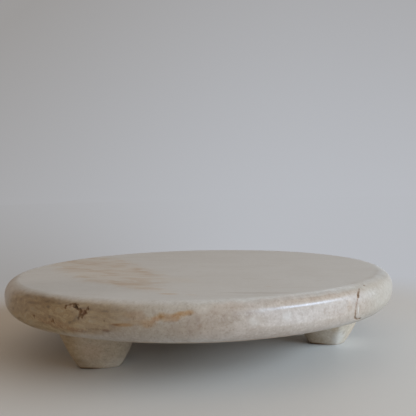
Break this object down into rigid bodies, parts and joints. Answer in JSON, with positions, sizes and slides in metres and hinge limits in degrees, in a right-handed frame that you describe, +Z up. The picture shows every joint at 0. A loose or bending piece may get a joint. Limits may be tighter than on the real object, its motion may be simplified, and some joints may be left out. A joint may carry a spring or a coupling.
{
  "type": "chakla rolling board",
  "caption": "Round stone board with a bullnosed rim on short tapered stone feet, each let into its underside by a spigot, for rolling out flatbread dough.",
  "frame": {"origin": "on the floor, under the middle of the board", "axes": "+Z up through the board's top face; +Y towards the back foot; the two front feet are mirrored in the YZ plane"},
  "size_m": [0.28, 0.28, 0.052],
  "materials": {
    "stone": "worn polish, stained ochre",
    "stone_cement": "matt, fine grained"
  },
  "bodies": {
    "root": {"board": "stone", "foot_back": "stone", "foot_front_left": "stone", "foot_front_right": "stone", "bed_back": "stone_cement", "bed_front_left": "stone_cement", "bed_front_right": "stone_cement"}
  },
  "joints": []
}
